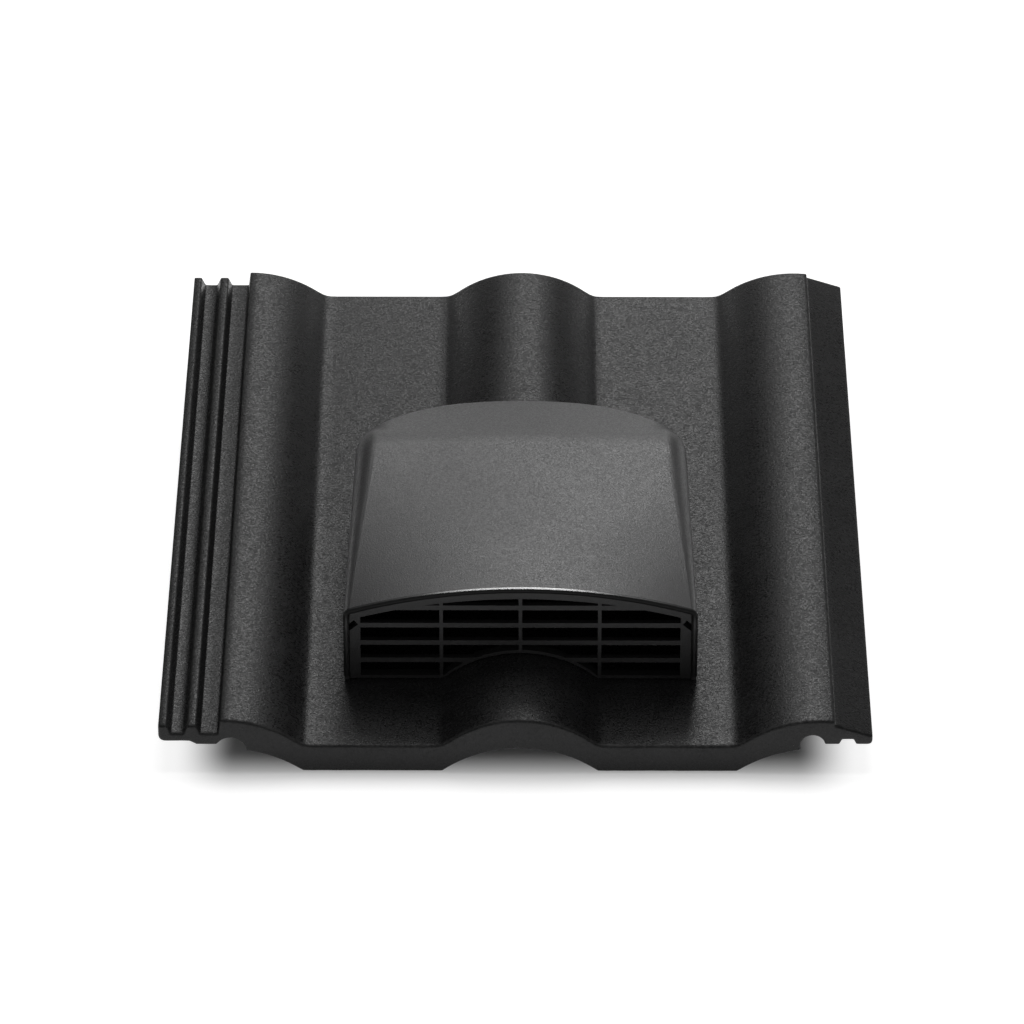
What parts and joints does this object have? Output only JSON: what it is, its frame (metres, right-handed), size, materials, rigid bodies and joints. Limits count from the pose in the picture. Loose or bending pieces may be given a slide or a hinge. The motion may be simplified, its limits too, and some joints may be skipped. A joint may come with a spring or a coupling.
{
  "type": "roof tile vent",
  "caption": "Interlocking concrete roof tile with a moulded ventilation hood over its middle roll, a lattice grille in the hood's mouth and a duct sleeve below.",
  "frame": {"origin": "under the middle of the tile, level with the feet of the head nibs", "axes": "+X to the right seen from the tail, +Y up the slope from tail to head, +Z out of the roof"},
  "size_m": [0.33, 0.42, 0.0843],
  "materials": {
    "concrete": "dark grey, fine sanded",
    "hood_plastic": "satin grain",
    "grille_plastic": "satin",
    "sleeve_plastic": "smooth matt",
    "foam": "closed-cell foam",
    "screw_steel": "bright zinc"
  },
  "bodies": {
    "root": {"tile": "concrete", "hood": "hood_plastic", "grille": "grille_plastic", "throat_sleeve": "sleeve_plastic", "sleeve_gasket": "foam", "hood_screws": "screw_steel"}
  },
  "joints": []
}
